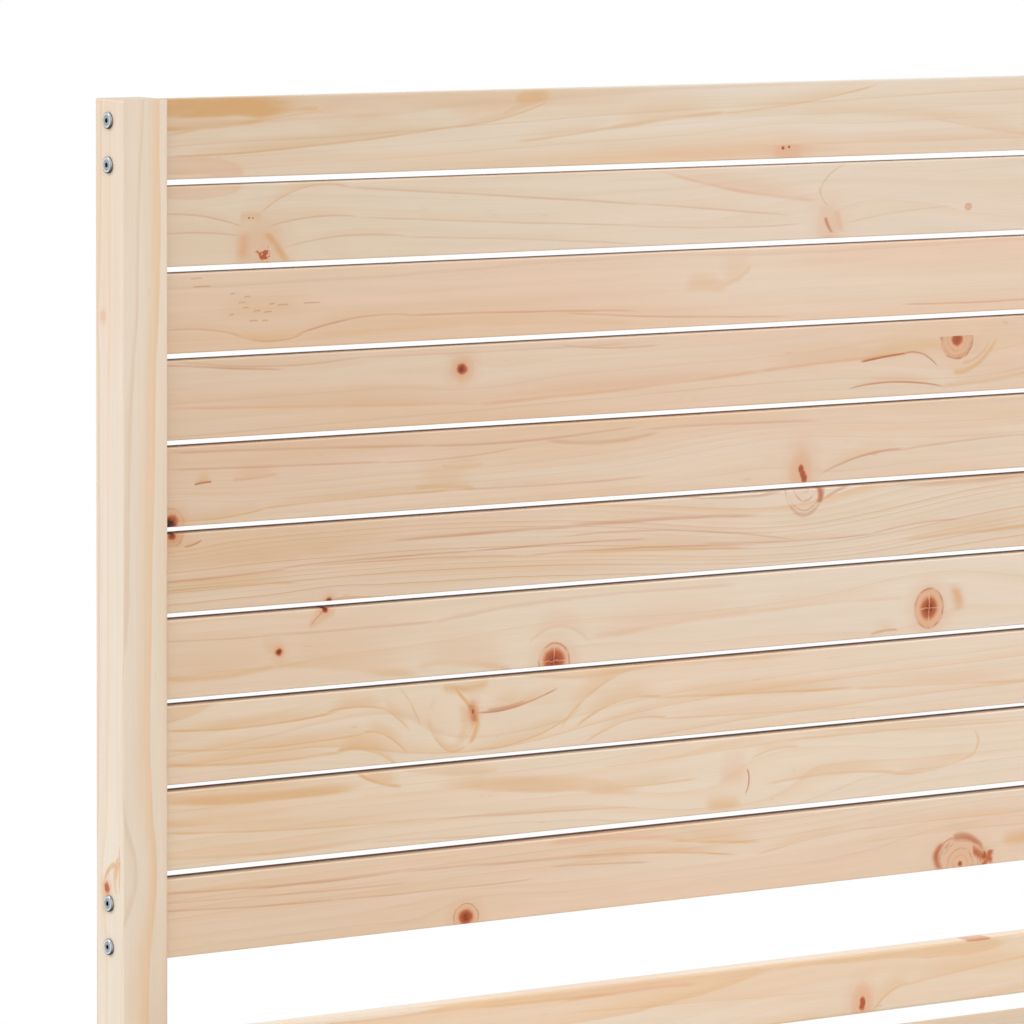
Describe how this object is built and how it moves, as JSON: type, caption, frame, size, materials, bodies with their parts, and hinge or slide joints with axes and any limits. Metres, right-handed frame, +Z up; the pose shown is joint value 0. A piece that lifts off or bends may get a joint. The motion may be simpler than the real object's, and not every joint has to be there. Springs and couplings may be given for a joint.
{
  "type": "bed frame",
  "caption": "Natural pine double bed frame: tall headboard of stacked horizontal boards between square posts, low foot end, side rails and a slatted base on a centre beam.",
  "frame": {"origin": "on the floor, at the middle of the footprint", "axes": "+Z up; +Y along the bed, from the foot end to the headboard; +X across, to the right as seen from the foot end"},
  "size_m": [1.4598, 2.1068, 1.0981],
  "materials": {
    "pine": "clear matt lacquer",
    "base_pine": "sanded, unfinished",
    "beech_dowel": "fluted, raw",
    "zinc_bolt": "zinc plated, satin",
    "zinc_nut": "zinc plated, satin",
    "zinc_screw": "zinc plated, bright"
  },
  "bodies": {
    "root": {"head_post_left": "pine", "head_post_right": "pine", "foot_post_left": "pine", "foot_post_right": "pine", "side_rail_left": "pine", "side_rail_right": "pine", "side_cleat_left": "base_pine", "side_cleat_right": "base_pine", "headboard_slat_01": "pine", "headboard_slat_02": "pine", "headboard_slat_03": "pine", "headboard_slat_04": "pine", "headboard_slat_05": "pine", "headboard_slat_06": "pine", "headboard_slat_07": "pine", "headboard_slat_08": "pine", "headboard_slat_09": "pine", "headboard_slat_10": "pine", "head_rail": "pine", "foot_rail": "pine", "centre_beam": "base_pine", "centre_leg_head": "base_pine", "centre_leg_middle": "base_pine", "centre_leg_foot": "base_pine", "bed_slat_01": "base_pine", "bed_slat_02": "base_pine", "bed_slat_03": "base_pine", "bed_slat_04": "base_pine", "bed_slat_05": "base_pine", "bed_slat_06": "base_pine", "bed_slat_07": "base_pine", "bed_slat_08": "base_pine", "bed_slat_09": "base_pine", "bed_slat_10": "base_pine", "bed_slat_11": "base_pine", "bed_slat_12": "base_pine", "bed_slat_13": "base_pine", "bed_slat_14": "base_pine", "headboard_bolts": "zinc_bolt", "side_rail_bolts": "zinc_bolt", "foot_rail_bolts": "zinc_bolt", "headboard_barrel_nuts": "zinc_nut", "side_rail_barrel_nuts": "zinc_nut", "foot_rail_barrel_nuts": "zinc_nut", "cleat_screws": "zinc_screw", "bed_slat_screws": "zinc_screw", "leg_screws": "zinc_screw", "headboard_dowels": "beech_dowel", "rail_dowels": "beech_dowel"}
  },
  "joints": []
}
